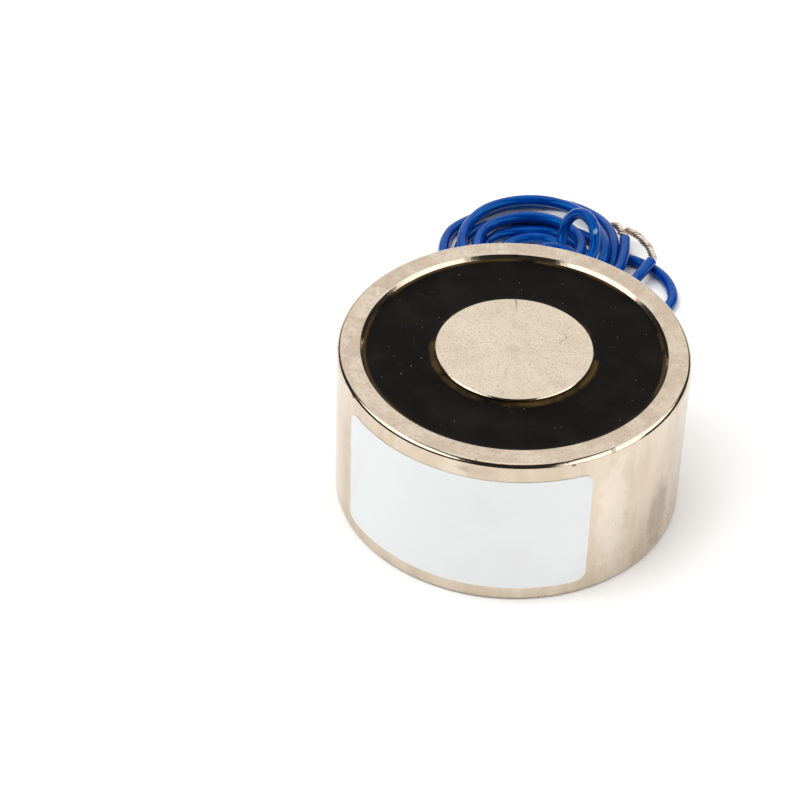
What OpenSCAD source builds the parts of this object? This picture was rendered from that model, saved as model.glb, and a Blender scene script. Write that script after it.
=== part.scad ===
// Round holding electromagnet: a turned steel pot with a centre pole, a wound
// bobbin potted in black resin, a paper label and two stranded leads.
// Origin: centre of the back face. +Z: towards the pole face. +Y: the lead exit.

/* [Pot] */
// Outside diameter of the pot
pot_d = 40; // [36:0.5:60]
// Height from the back to the pole face
pot_h = 20; // [17:0.5:32]
// Thickness of the side wall
wall = 3; // [2:0.1:4]
// Thickness of the floor
floor_t = 4; // [2.5:0.1:6]
// Diameter of the centre pole
pole_d = 18; // [12:0.5:20]
// Break on the outer edge of the rim
rim_break = 0.55; // [0.1:0.05:0.9]
// Break on the inner edge of the rim
mouth_break = 0.5; // [0.1:0.05:0.9]
// Break on the edge of the pole
pole_break = 0.15; // [0.05:0.05:0.5]
// Break on the edge of the back
back_break = 0.3; // [0.1:0.05:0.8]

/* [Tapped hole] */
// Drilled diameter of the tapped hole in the back
tap_d = 4.2; // [2.5:0.1:6.8]
// Depth of the tapped hole, without the drill's point
tap_depth = 9; // [5:0.5:12]
// Width of the chamfer at the mouth of the tapped hole
tap_chamfer = 0.5; // [0.2:0.1:1]
// Angle of the drill's point
drill_angle = 118; // [90:1:140]

/* [Bobbin and winding] */
// Clearance between the pole and the bobbin
pole_gap = 0.15; // [0.05:0.05:0.4]
// Thickness of the bobbin's tube
tube_t = 0.8; // [0.5:0.1:1.5]
// Thickness of each flange
flange_t = 1; // [0.6:0.1:1.6]
// Clearance between a flange and the pot's wall
flange_gap = 0.4; // [0.2:0.1:1]
// Thickness of the tape round the winding
tape_t = 0.2; // [0.1:0.05:0.5]
// Diameter of the winding's wire
wire_d = 0.4; // [0.2:0.05:0.5]
// Clearance round the winding's wire where it passes the flange and the tape
wire_gap = 0.1; // [0.05:0.05:0.2]

/* [Leads] */
// Diameter of a lead over its insulation
lead_d = 1.4; // [1:0.1:1.8]
// Diameter of a lead's twisted conductor
strand_d = 0.66; // [0.4:0.02:0.9]
// Gap between the two leads in the exit
lead_gap = 0.2; // [0.1:0.1:0.6]
// Room between the leads and the edge of the exit hole
exit_margin = 0.5; // [0.3:0.1:1]
// Height of the exit above the lower flange
exit_rise = 1.6; // [1.5:0.1:4]
// Bend of a lead just inside the exit, at its middle
lead_bend = 1.6; // [1.2:0.1:3]
// Length of a lead round the winding, before its solder joint
inner_run = 8; // [5:0.5:12]

/* [Solder joints] */
// Length of a solder joint
joint_l = 4; // [2:0.5:6]
// Diameter of a solder joint
joint_d = 1.1; // [0.8:0.1:1.3]
// Length of the sleeve over a joint
sleeve_l = 10; // [8:0.5:14]
// Length of the sleeve that covers the lead
sleeve_lap = 3; // [1:0.5:5]
// Thickness of the sleeve
sleeve_t = 0.25; // [0.1:0.05:0.4]
// Room between a sleeve and what it lies beside
race_gap = 0.3; // [0.1:0.1:0.8]
// Length of the winding's wire past its sleeve
tail_l = 3; // [1:0.5:6]

/* [Resin] */
// Depth of the resin below the pole face
resin_depth = 0.6; // [0.2:0.1:1.5]
// Thickness of the resin over the bobbin
resin_cover = 1.2; // [0.5:0.1:3]

/* [Label] */
// Length of the label round the wall
label_w = 31; // [15:0.5:50]
// Height of bare wall under the label
label_low = 1.9; // [1:0.1:5]
// Height of bare wall over the label
label_high = 2.4; // [1:0.1:5]
// Thickness of the label
label_t = 0.1; // [0.05:0.05:0.3]
// Radius of the label's corners
label_corner = 1.2; // [0.5:0.1:3]

/* [Lead coil] */
// Outside radius of the coil that the leads are wound into
coil_r = 11.2; // [9:0.1:16]
// Inside radius of the coil
coil_hole_r = 3.4; // [2:0.1:7]
// Height of the coil
coil_h = 4.2; // [2.8:0.1:6]

/* [Hidden] */
$fn = 96;

// Over-reach of a cutting solid past the face that it cuts
over = 1;

// The pot
pot_r = pot_d / 2;
pocket_r = pot_r - wall;
pole_r = pole_d / 2;
tap_r = tap_d / 2;

// The bobbin, from the pole outwards and from the floor upwards
bobbin_r = pole_r + pole_gap;
tube_r = bobbin_r + tube_t;
flange_r = pocket_r - flange_gap;
resin_z = pot_h - resin_depth;
bobbin_z = resin_z - resin_cover;
winding_low = floor_t + flange_t;
winding_high = bobbin_z - flange_t;

// The race between the tape and the wall, where the leads run round
sleeve_d = lead_d + 2 * sleeve_t;
race_w = sleeve_d + 2 * race_gap;
race_r = pocket_r - race_w / 2;
tape_r = pocket_r - race_w;
winding_r = tape_r - tape_t;

// The exit hole in the wall
lead_x = (lead_d + lead_gap) / 2;
exit_d = 2 * (lead_d + exit_margin) + lead_gap;
exit_z = winding_low + exit_rise;

// The bend from the exit into the race, and the angles along the race from +Y
bend_x = lead_x + lead_bend;
bend_y = sqrt(pow(race_r + lead_bend, 2) - pow(bend_x, 2));
bend_end = atan2(bend_x, bend_y);
lead_end = bend_end + race_angle(inner_run);
joint_end = lead_end + race_angle(joint_l);
sleeve_start = lead_end - race_angle(sleeve_lap);
sleeve_end = sleeve_start + race_angle(sleeve_l);
tail_end = sleeve_end + race_angle(tail_l);

// Route of a lead inside the pot: straight in, round the bend and along the race
inner_sides = 12;
bend_steps = 6;
race_steps = 6;
last_step = 0.5;
inner_route = concat(
    [[lead_x, pot_r, exit_z]],
    [for (k = [0:bend_steps])
        let (a = 180 + (90 - bend_end) * k / bend_steps)
        [bend_x + lead_bend * cos(a), bend_y + lead_bend * sin(a), exit_z]],
    [for (k = [1:race_steps])
        let (a = bend_end + (lead_end - last_step - bend_end) * k / race_steps)
        [race_r * sin(a), race_r * cos(a), exit_z]],
    [[race_r * sin(lead_end), race_r * cos(lead_end), exit_z]]);

// Place of the centre of a label's corner, as a share of its radius: the arc then crosses both edges
corner_share = 0.95;

// The groove in the lower flange for the start of the winding
groove_w = wire_d + 2 * wire_gap;
groove_z = winding_low - wire_gap - wire_d / 2;
groove_start = tube_r + wire_gap / 2;
groove_r = tube_r + groove_w / 2;

// Routes of the leads outside the pot. Each point is [x, y, z], with y from the wall at the exit.
lead_sides = 8;
coil_centre = [-11.3, 22.2, 0];
route_a_run = [[lead_x, 0, exit_z], [0.8, 2.5, 6.6], [1.3, 5.4, 5], [2.7, 8.8, 2.2], [5.6, 12.7, 0.7],
    [8.4, 16.2, 0.7], [9.2, 19.2, 0.7], [7.7, 22, 0.7], [5.2, 23.9, 0.7], [2.7, 25, 0.7],
    [-0.4, 25.8, 0.7]];
route_b_run = [[-lead_x, 0, exit_z], [-0.8, 2.5, 6.6], [-0.7, 5.4, 4.8], [-0.6, 8.8, 2], [-0.6, 12.3, 0.7],
    [-0.5, 16.8, 0.7]];
route_a_end = [[0.8, 20.3, 2.2], [0.8, 22.1, 2.2], [0.4, 24.9, 2.2], [-0.3, 27.7, 2]];
route_b_end = [[-2.5, 14, 2.3], [-0.4, 14, 2.3], [1.5, 15.1, 2.1], [3.2, 17.5, 2], [3.8, 20.6, 2],
    [4.5, 24.2, 2.1]];
// The stripped conductors carry on from the leads and bend over to these two points
bend_a = [[-0.9, 29.7, 1.8], [-3, 31.1, 0.8]];
bend_b = [[3.6, 28.4, 1.4], [-1, 31.2, 0.6]];
// Reach of the straight start of a conductor, as a share of the way to its first point
handle_share = 0.5;

// The conductors' strands
strand_lobes = 5;
lobe_points = 5;
lobe_depth = 0.13;
strand_pitch = 3.2;
strand_rings = 26;
// Height of each tip to its round height: the first is pressed flat with solder, the second is round
tip_press_a = 0.7;
tip_press_b = 1;

nickel = [0.85, 0.78, 0.69];
nylon = [0.9, 0.88, 0.82];
copper = [0.72, 0.38, 0.17];
polyester = [0.86, 0.7, 0.22];
shrink = [0.12, 0.12, 0.13];
solder = [0.72, 0.73, 0.75];
resin = [0.12, 0.11, 0.1];
paper = [0.91, 0.92, 0.92];
blue_vinyl = [0.05, 0.27, 0.7];
tinned_copper = [0.72, 0.64, 0.52];

// Angle of an arc length along the race
function race_angle(length) = length / race_r * 180 / PI;
// A vector at length one
function unit(v) = v / norm(v);
// Direction of a path at one of its points
function direction(path, i) = unit(path[min(i + 1, len(path) - 1)] - path[max(i - 1, 0)]);
// The route as it lies outside the wall
function placed(route) = [for (p = route) p + [0, pot_r, 0]];
// A flat outline [across, up] set square on a path at one of its points
function section(path, i, outline) =
    let (along = direction(path, i), across = unit(cross(along, [0, 0, 1])), up = cross(across, along))
    [for (p = outline) path[i] + across * p[0] + up * p[1]];
// A point on a cubic curve through two ends, with two handles
function curve_point(p, t) =
    p[0] * pow(1 - t, 3) + p[1] * 3 * t * pow(1 - t, 2) + p[2] * 3 * pow(t, 2) * (1 - t) + p[3] * pow(t, 3);
// Outline of a round lead
function round_outline(r, sides) = [for (k = [0:sides - 1]) r * [cos(360 * k / sides), sin(360 * k / sides)]];
// Outline of twisted strands: a lobed ring turned by its place along the twist, flattened by a ratio
function strand_outline(r, turn, flat) =
    [for (k = [0:strand_lobes * lobe_points - 1])
        let (a = 360 * k / (strand_lobes * lobe_points), b = a + turn,
            lobe = 1 - lobe_depth * (1 - cos(strand_lobes * a)) / 2)
        r * lobe * [cos(b) / flat, sin(b) * flat]];

// A solid swept along a path, with one outline for each of its points
module sweep(path, outlines) {
    n = len(outlines[0]);
    last = len(path) - 1;
    rings = [for (i = [0:last]) each section(path, i, outlines[i])];
    sides = [for (i = [0:last - 1], k = [0:n - 1])
        let (a = i * n + k, b = i * n + (k + 1) % n)
        each [[a, b, b + n], [a, b + n, a + n]]];
    start_cap = [for (k = [n - 1:-1:0]) k];
    end_cap = [for (k = [0:n - 1]) last * n + k];
    polyhedron(points = rings, faces = concat([start_cap], sides, [end_cap]));
}

// A round lead along its route
module lead_tube(route) {
    path = placed(route);
    sweep(path, [for (p = path) round_outline(lead_d / 2, lead_sides)]);
}

// Twisted strands that leave the cut end of a lead and bend over; press flattens the tip
module strands(lead_route, bend, press) {
    path_end = placed(lead_route);
    cut = path_end[len(path_end) - 1];
    along = direction(path_end, len(path_end) - 1);
    tip = placed(bend);
    handles = [cut, cut + along * norm(tip[0] - cut) * handle_share, tip[0], tip[1]];
    steps = [for (i = [0:strand_rings]) i / strand_rings];
    path = [for (t = steps) curve_point(handles, t)];
    run = norm(tip[1] - tip[0]) + norm(tip[0] - cut);
    sweep(path, [for (t = steps)
        strand_outline(strand_d / 2, 360 * t * run / strand_pitch, 1 - (1 - press) * pow(t, 3))]);
}

// A rod along the race, between two angles from +Y
module race_rod(from, to, d) {
    translate([0, 0, exit_z])
        rotate([0, 0, 90 - to])
            rotate_extrude(angle = to - from)
                translate([race_r, 0])
                    circle(d = d);
}

// What stands at the end of the tail, turned to its angle
module at_tail_end() {
    rotate([0, 0, -tail_end])
        children();
}

// A lead from the exit round its bend into the race, for the side at +X
module inner_lead() {
    sweep(inner_route, [for (p = inner_route) round_outline(lead_d / 2, inner_sides)]);
}

// The sleeve's outside, for the side at +X
module sleeve_body() {
    race_rod(sleeve_start, sleeve_end, sleeve_d);
}

// The start of the winding: along the race, down to the groove and in to the tube
module start_tail(d) {
    race_rod(joint_end, tail_end, d);
    at_tail_end() {
        translate([0, race_r, exit_z])
            sphere(d = d);
        translate([0, race_r, groove_z])
            cylinder(d = d, h = exit_z - groove_z);
        translate([0, race_r, groove_z])
            sphere(d = d);
        translate([0, groove_r, groove_z])
            rotate([-90, 0, 0])
                cylinder(d = d, h = race_r - groove_r);
        translate([0, groove_r, groove_z])
            sphere(d = d);
        translate([0, groove_r, groove_z])
            cylinder(d = d, h = winding_low - groove_z);
    }
}

// The finish of the winding: along the race and in through the tape
module finish_tail(d) {
    race_rod(joint_end, tail_end, d);
    at_tail_end() {
        translate([0, race_r, exit_z])
            sphere(d = d);
        translate([0, winding_r, exit_z])
            rotate([-90, 0, 0])
                cylinder(d = d, h = race_r - winding_r);
    }
}

// The other side of the exit, at -X
module other_side() {
    mirror([1, 0, 0])
        children();
}

module pot_housing() {
    color(nickel)
        difference() {
            rotate_extrude()
                polygon([
                    [0, 0], [pot_r - back_break, 0], [pot_r, back_break],
                    [pot_r, pot_h - rim_break], [pot_r - rim_break, pot_h],
                    [pocket_r + mouth_break, pot_h], [pocket_r, pot_h - mouth_break],
                    [pocket_r, floor_t], [pole_r, floor_t],
                    [pole_r, pot_h - pole_break], [pole_r - pole_break, pot_h], [0, pot_h]
                ]);
            translate([0, 0, -over])
                cylinder(d = tap_d, h = tap_depth + over);
            translate([0, 0, tap_depth])
                cylinder(r1 = tap_r, r2 = 0, h = tap_r / tan(drill_angle / 2));
            translate([0, 0, -over])
                cylinder(r1 = tap_r + tap_chamfer + over, r2 = tap_r, h = tap_chamfer + over);
            translate([0, race_r, exit_z])
                rotate([-90, 0, 0])
                    cylinder(d = exit_d, h = pot_r - race_r + over);
        }
}

module bobbin() {
    color(nylon)
        difference() {
            rotate_extrude()
                polygon([
                    [bobbin_r, floor_t], [flange_r, floor_t], [flange_r, winding_low],
                    [tube_r, winding_low], [tube_r, winding_high], [flange_r, winding_high],
                    [flange_r, bobbin_z], [bobbin_r, bobbin_z]
                ]);
            at_tail_end()
                translate([-groove_w / 2, groove_start, winding_low - groove_w])
                    cube([groove_w, pocket_r - groove_start, groove_w + over]);
        }
}

module coil_winding() {
    color(copper)
        rotate_extrude()
            translate([tube_r, winding_low])
                square([winding_r - tube_r, winding_high - winding_low]);
}

module winding_tape() {
    color(polyester)
        difference() {
            rotate_extrude()
                translate([winding_r, winding_low])
                    square([tape_t, winding_high - winding_low]);
            other_side()
                at_tail_end()
                    translate([0, winding_r - over, exit_z])
                        rotate([-90, 0, 0])
                            cylinder(d = wire_d + 2 * wire_gap, h = tape_t + 2 * over);
        }
}

module winding_start() {
    color(copper)
        start_tail(wire_d);
}

module winding_finish() {
    color(copper)
        other_side()
            finish_tail(wire_d);
}

module solder_joint_a() {
    color(solder)
        race_rod(lead_end, joint_end, joint_d);
}

module solder_joint_b() {
    color(solder)
        other_side()
            race_rod(lead_end, joint_end, joint_d);
}

// A thin sleeve with the lead, the joint and the wire inside it
module joint_sleeve() {
    color(shrink)
        difference() {
            sleeve_body();
            race_rod(sleeve_start - over, sleeve_end + over, lead_d);
        }
}

module joint_sleeve_a() {
    joint_sleeve();
}

module joint_sleeve_b() {
    other_side()
        joint_sleeve();
}

module lead_a_inner() {
    color(blue_vinyl)
        inner_lead();
}

module lead_b_inner() {
    color(blue_vinyl)
        other_side()
            inner_lead();
}

// Resin fills what the bobbin, the tape and the leads leave of the pocket, and the exit hole
module potting_resin() {
    color(resin)
        difference() {
            union() {
                rotate_extrude()
                    polygon([
                        [pole_r, bobbin_z], [flange_r, bobbin_z], [flange_r, winding_high],
                        [tape_r, winding_high], [tape_r, winding_low], [flange_r, winding_low],
                        [flange_r, floor_t], [pocket_r, floor_t], [pocket_r, resin_z], [pole_r, resin_z]
                    ]);
                intersection() {
                    translate([0, pocket_r - flange_gap / 2, exit_z])
                        rotate([-90, 0, 0])
                            cylinder(d = exit_d, h = wall + over);
                    cylinder(r = pot_r, h = pot_h);
                }
            }
            inner_lead();
            other_side()
                inner_lead();
            sleeve_body();
            other_side()
                sleeve_body();
            start_tail(wire_d);
            other_side()
                finish_tail(wire_d);
        }
}

// What is cut from a sharp corner at [x, y] = [1, 1] to round it, along a radius of the pot
module corner_cut() {
    difference() {
        cube([2 * label_corner, 2 * label_corner, 2 * over]);
        cylinder(r = label_corner, h = 2 * over);
    }
}

// A paper label wrapped on the wall opposite the exit, with round corners
module label() {
    half_w = label_w / pot_r * 90 / PI;
    corner_in = label_corner * corner_share;
    corner_a = corner_in / pot_r * 180 / PI;
    low = label_low + corner_in;
    high = pot_h - label_high - corner_in;
    color(paper)
        difference() {
            rotate([0, 0, -90 - half_w])
                rotate_extrude(angle = 2 * half_w)
                    translate([pot_r, label_low])
                        square([label_t, pot_h - label_high - label_low]);
            for (side = [0, 1], end = [0, 1])
                mirror([side, 0, 0])
                    rotate([0, 0, half_w - corner_a])
                        translate([0, over - pot_r, end > 0 ? high : low])
                            rotate([90, 0, 0])
                                mirror([0, 1 - end, 0])
                                    corner_cut();
        }
}

module lead_a_run() {
    color(blue_vinyl)
        lead_tube(route_a_run);
}

module lead_b_run() {
    color(blue_vinyl)
        lead_tube(route_b_run);
}

// The outer shape of the wound leads: a ring with rounded edges
module lead_coil() {
    edge_r = lead_d / 2;
    color(blue_vinyl)
        translate(coil_centre + [0, pot_r, 0])
            rotate_extrude() {
                translate([coil_hole_r, edge_r])
                    square([coil_r - coil_hole_r, coil_h - 2 * edge_r]);
                translate([coil_hole_r + edge_r, 0])
                    square([coil_r - coil_hole_r - 2 * edge_r, coil_h]);
                for (x = [coil_hole_r + edge_r, coil_r - edge_r], y = [edge_r, coil_h - edge_r])
                    translate([x, y])
                        circle(r = edge_r);
            }
}

module lead_a_end() {
    color(blue_vinyl)
        lead_tube(route_a_end);
}

module lead_b_end() {
    color(blue_vinyl)
        lead_tube(route_b_end);
}

module conductor_a() {
    color(tinned_copper)
        strands(route_a_end, bend_a, tip_press_a);
}

module conductor_b() {
    color(tinned_copper)
        strands(route_b_end, bend_b, tip_press_b);
}

pot_housing();
bobbin();
coil_winding();
winding_tape();
winding_start();
winding_finish();
solder_joint_a();
solder_joint_b();
joint_sleeve_a();
joint_sleeve_b();
lead_a_inner();
lead_b_inner();
potting_resin();
label();
lead_a_run();
lead_b_run();
lead_coil();
lead_a_end();
lead_b_end();
conductor_a();
conductor_b();
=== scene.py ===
# %% [markdown]
# A holding electromagnet: a turned and plated steel pot with a centre pole, black
# resin cast into the ring between them, a bare sticker on the wall, and two thin
# blue leads that leave the back of the wall and lie in a loose coil. The solids come
# from the CAD model, so this lesson dresses them and never moves them.

# %% Load the solids and keep their box
import bpy
import math
import numpy as np
from mathutils import Matrix, Vector


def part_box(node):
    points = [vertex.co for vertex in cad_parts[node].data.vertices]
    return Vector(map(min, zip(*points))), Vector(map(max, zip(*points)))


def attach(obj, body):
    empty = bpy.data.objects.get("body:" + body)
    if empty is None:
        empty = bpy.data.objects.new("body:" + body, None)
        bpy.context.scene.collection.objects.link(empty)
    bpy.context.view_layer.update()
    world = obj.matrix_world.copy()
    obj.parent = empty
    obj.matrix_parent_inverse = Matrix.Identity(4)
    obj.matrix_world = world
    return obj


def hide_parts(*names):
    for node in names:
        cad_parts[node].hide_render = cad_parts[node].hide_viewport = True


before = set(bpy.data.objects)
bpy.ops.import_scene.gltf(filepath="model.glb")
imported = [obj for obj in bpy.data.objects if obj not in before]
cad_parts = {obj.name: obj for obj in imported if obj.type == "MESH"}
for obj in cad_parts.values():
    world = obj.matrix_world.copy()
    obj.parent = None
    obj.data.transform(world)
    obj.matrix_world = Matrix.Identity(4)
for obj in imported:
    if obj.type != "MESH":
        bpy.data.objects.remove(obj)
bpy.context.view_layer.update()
mm = 0.001
pot_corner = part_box("pot_housing")[1]
pot_radius = round(pot_corner[0] / mm, 2)
pot_height = round(pot_corner[2] / mm, 2)


def start_clean():
    """Object mode with nothing selected, so that an operator acts on new work only."""
    if bpy.context.object and bpy.context.object.mode != "OBJECT":
        bpy.ops.object.mode_set(mode="OBJECT")
    bpy.ops.object.select_all(action="DESELECT")


print("pot radius and height, mm:", pot_radius, pot_height)

# %% [markdown]
# The camera is a long lens, about a third of a metre away, looking down at some forty
# degrees. It could be aimed by a Track To constraint, but a photograph is rarely held
# level, so the four turns are multiplied in the order a tripod gives them: the pan,
# the place, the tilt and last the small roll.

# %% Place the camera
camera_pan = 19.35
camera_tilt = 40.36
camera_roll = 1.65
camera_lens = 123.8
camera_place = Vector((-12.7, -239.9, 215.7)) * mm

start_clean()
bpy.ops.object.camera_add()
camera = bpy.context.object
camera.name = "camera"
camera.data.lens = camera_lens
pan = Matrix.Rotation(math.radians(camera_pan), 4, "Z")
tilt = Matrix.Rotation(math.radians(90 - camera_tilt), 4, "X")
roll = Matrix.Rotation(math.radians(camera_roll), 4, "Z")
camera.matrix_world = pan @ Matrix.Translation(camera_place) @ tilt @ roll
bpy.context.scene.camera = camera
print("camera at, mm:", [round(x / mm) for x in camera.matrix_world.translation])

# %% [markdown]
# The two leads are limp hook-up wire. Each comes straight out of the wall, sinks to the
# table and goes round in flat turns before it ends in a short stub. The stretches that
# aren't coiled are points given one by one, in millimetres, with y counted from the pot's
# wall. The turns are keys: an angle round the coil's centre, with a radius and a height.

# %% Routes of the two leads
lead_d = 1.4
lead_rest = lead_d / 2

run_a = [(0.8, 0, 6.6), (0.8, 2.5, 6.6), (1.3, 5.4, 5.0), (2.7, 8.8, 2.2),
         (5.4, 12.6, 0.7), (8.0, 15.9, 0.7), (8.9, 18.8, 0.7), (8.2, 21.1, 0.7),
         (6.9, 22.9, 0.7), (5.2, 24.2, 0.7), (3.0, 25.0, 0.7), (-0.4, 25.7, 0.7)]
centre_a = (-10.3, 21.2)
keys_a = [(42, 9.0, 0.7), (75, 7.5, 0.7), (100, 7.3, 0.7), (140, 8.2, 0.7),
          (180, 9.6, 0.7), (225, 9.8, 0.7), (270, 8.4, 0.7), (360, 6.9, 0.7),
          (430, 6.1, 0.7), (475, 5.5, 0.7),
          (535, 6.6, 0.7), (630, 5.9, 0.7), (700, 5.4, 0.7), (790, 4.4, 0.7),
          (860, 4.0, 0.7), (960, 4.6, 1.0), (1050, 5.6, 2.1), (1150, 6.4, 2.1),
          (1200, 6.7, 2.1), (1255, 7.3, 2.1), (1290, 7.3, 2.2)]
end_a = [(-13.4, 16.2, 2.5), (-10.6, 17.2, 3.3), (-7.7, 19.0, 4.4), (-4.9, 19.1, 4.2),
         (-2.3, 18.2, 3.0), (-0.2, 18.6, 2.6), (0.9, 20.4, 2.3), (0.9, 22.4, 2.3),
         (0.5, 24.8, 2.3), (-0.1, 27.3, 2.2)]

run_b = [(-0.8, 0, 6.6), (-0.8, 2.5, 6.6), (-0.7, 5.4, 4.8), (-0.6, 8.8, 2.0),
         (-0.6, 12.3, 0.7), (-0.5, 16.8, 0.7)]
centre_b = (-10.9, 22.3)
keys_b = [(-12, 11.4, 1.0), (18, 10.8, 2.1), (41, 10.8, 1.8), (72, 11.4, 0.7),
          (115, 10.3, 0.7), (150, 9.9, 0.7), (190, 11.2, 0.7), (240, 11.2, 0.7),
          (285, 10.9, 0.7), (325, 10.2, 1.0), (365, 9.6, 2.6), (396, 8.8, 2.5),
          (435, 9.0, 2.1), (495, 9.0, 1.7), (542, 9.0, 1.4), (580, 9.4, 1.2),
          (630, 9.4, 1.6)]
curl_b = [(-7.6, 13.2, 1.9), (-5.2, 13.6, 2.9), (-2.0, 19.0, 4.5), (-2.3, 20.7, 6.3),
          (-3.1, 21.9, 7.3), (-4.5, 23.0, 7.5), (-6.0, 23.6, 6.6), (-6.9, 23.4, 5.1),
          (-7.0, 22.6, 3.6), (-6.7, 21.1, 2.8), (-6.9, 18.4, 3.0), (-4.6, 15.5, 2.9)]
end_b = [(-2.5, 14.0, 2.3), (-0.4, 14.0, 2.3), (1.5, 15.1, 2.1), (3.2, 17.5, 2.0),
         (3.8, 20.6, 2.0), (4.5, 24.2, 2.1)]
print("points and keys:", len(run_a + keys_a + end_a), len(run_b + keys_b + curl_b + end_b))

# %% [markdown]
# A loop turns the keys into points, easing radius and height from one to the next. One
# smooth curve then passes through them all. Bezier handles could be pulled by hand, but a
# spline through the points has no handles to get wrong.

# %% Curve through the points
turn_step = 24


def eased(keys, angle):
    """Radius and height at an angle, blended gently between the keys."""
    for (a0, r0, z0), (a1, r1, z1) in zip(keys, keys[1:]):
        if angle <= a1:
            share = (1 - math.cos(math.pi * (angle - a0) / (a1 - a0))) / 2
            return r0 + (r1 - r0) * share, z0 + (z1 - z0) * share
    return keys[-1][1:]


def wound(centre, keys):
    """The points of flat turns round a centre, over the keys' angles."""
    first, last = keys[0][0], keys[-1][0]
    count = round((last - first) / turn_step)
    points = []
    for k in range(count + 1):
        angle = first + (last - first) * k / count
        radius, height = eased(keys, angle)
        turn = math.radians(angle)
        points.append((centre[0] + radius * math.cos(turn),
                       centre[1] + radius * math.sin(turn), height))
    return points


def smooth_line(points, steps=12):
    """One smooth curve through every point: a centripetal Catmull-Rom spline."""
    p = np.array(points, float)
    p = np.vstack([2 * p[0] - p[1], p, 2 * p[-1] - p[-2]])
    line = []
    for i in range(1, len(p) - 2):
        p0, p1, p2, p3 = p[i - 1:i + 3]
        t1 = np.linalg.norm(p1 - p0) ** 0.5
        t2 = t1 + np.linalg.norm(p2 - p1) ** 0.5
        t3 = t2 + np.linalg.norm(p3 - p2) ** 0.5
        for t in np.linspace(t1, t2, steps, endpoint=False):
            a1 = ((t1 - t) * p0 + t * p1) / t1
            a2 = ((t2 - t) * p1 + (t - t1) * p2) / (t2 - t1)
            a3 = ((t3 - t) * p2 + (t - t2) * p3) / (t3 - t2)
            b1 = ((t2 - t) * a1 + t * a2) / t2
            b2 = ((t3 - t) * a2 + (t - t1) * a3) / (t3 - t1)
            line.append(((t2 - t) * b1 + (t - t1) * b2) / (t2 - t1))
    line.append(p[-2])
    return np.array(line)


def spaced(line, step):
    """The same line with its points an even step apart."""
    gone = np.concatenate([[0], np.cumsum(np.linalg.norm(np.diff(line, axis=0), axis=1))])
    at = np.linspace(0, gone[-1], round(gone[-1] / step) + 1)
    return np.stack([np.interp(at, gone, line[:, k]) for k in range(3)], 1)


def line_length(line):
    return float(np.linalg.norm(np.diff(line, axis=0), axis=1).sum())


from_wall = np.array((0, pot_radius, 0))
lead_step = 0.8
loose_a = spaced(smooth_line(run_a + wound(centre_a, keys_a) + end_a) + from_wall, lead_step)
loose_b = spaced(smooth_line(run_b + wound(centre_b, keys_b) + curl_b + end_b) + from_wall,
                 lead_step)
print("leads before settling, mm:", round(line_length(loose_a)), round(line_length(loose_b)))

# %% [markdown]
# Where turns meet, real wires press each other aside. A rigid-body run could do this, but
# it is slow and hard to steer. Here each round pushes points that are closer than a wire's
# thickness apart, and then smooths the pushes along the wire, which keeps its bends easy,
# as the wire's own stiffness would.

# %% Let the turns settle against each other
settle_rounds = 300
settle_reach = 7
settle_room = 1.02 * lead_d
settle_share = 0.6
stiffness = 0.5
stiffness_passes = 3
held_points = 6


def settled(lines):
    """The lines with their crossings pushed apart, none of them below the table."""
    ends = np.cumsum([0] + [len(line) for line in lines])
    start = np.vstack(lines)
    place = np.concatenate([np.arange(len(line)) for line in lines])
    lead = np.concatenate([np.full(len(line), k) for k, line in enumerate(lines)])
    apart = abs(place[:, None] - place[None]) < settle_reach
    neighbours = (lead[:, None] == lead[None]) & apart
    points = start.copy()
    for _ in range(settle_rounds):
        away = points[:, None] - points[None]
        distance = np.linalg.norm(away, axis=2)
        distance[neighbours] = settle_room
        close = distance < settle_room
        share = np.where(close, (settle_room - distance) / np.maximum(distance, 1e-6), 0)
        push = (share[..., None] * away).sum(1) / np.maximum(close.sum(1), 1)[:, None]
        moved = points + settle_share * push - start
        for _ in range(stiffness_passes):
            for first, last in zip(ends, ends[1:]):
                part = moved[first:last]
                part[1:-1] += stiffness * ((part[:-2] + part[2:]) / 2 - part[1:-1])
        moved[place < held_points] = 0
        points = start + moved
        points[:, 2] = np.maximum(points[:, 2], lead_rest)
    print("wires' closest approach, mm:", round(float(distance.min()), 2))
    return [points[first:last] for first, last in zip(ends, ends[1:])]


path_a, path_b = settled([loose_a, loose_b])
print("leads after settling, mm:", round(line_length(path_a)), round(line_length(path_b)))

# %% [markdown]
# Each lead becomes a curve with a round bevel: a curve keeps its centreline, so the model
# still knows the cord's true length. The line is smoothed once more through the settled
# points, so that no facet shows along a bend. The bevel is one unit deep and each point
# carries the wire's radius, because Blender takes a curve's box from its points' radii.

# %% Draw the leads as curves
curve_step = 0.4
curve_finer = 4
lead_bevel = 7


def drawn(name, lines, depth, resolution):
    """A curve with a round bevel and closed ends, through the points of each line."""
    data = bpy.data.curves.new(name, "CURVE")
    data.dimensions = "3D"
    data.bevel_depth = depth
    data.bevel_resolution = resolution
    data.use_fill_caps = True
    for line in lines:
        spline = data.splines.new("POLY")
        spline.points.add(len(line) - 1)
        for point, place in zip(spline.points, line * mm):
            point.co = (*place, 1)
    made = bpy.data.objects.new(name, data)
    bpy.context.collection.objects.link(made)
    return made


def lead_curve(name, path):
    """A lead's settled path as one open curve of the wire's thickness."""
    line = spaced(smooth_line(path, curve_finer), curve_step)
    lead = drawn(name, [line], 1.0, lead_bevel)
    for point in lead.data.splines[0].points:
        point.radius = lead_rest * mm
    return lead


lead_a = lead_curve("lead_a", path_a)
lead_b = lead_curve("lead_b", path_b)
print("curve points:", len(lead_a.data.splines[0].points), len(lead_b.data.splines[0].points))

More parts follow.
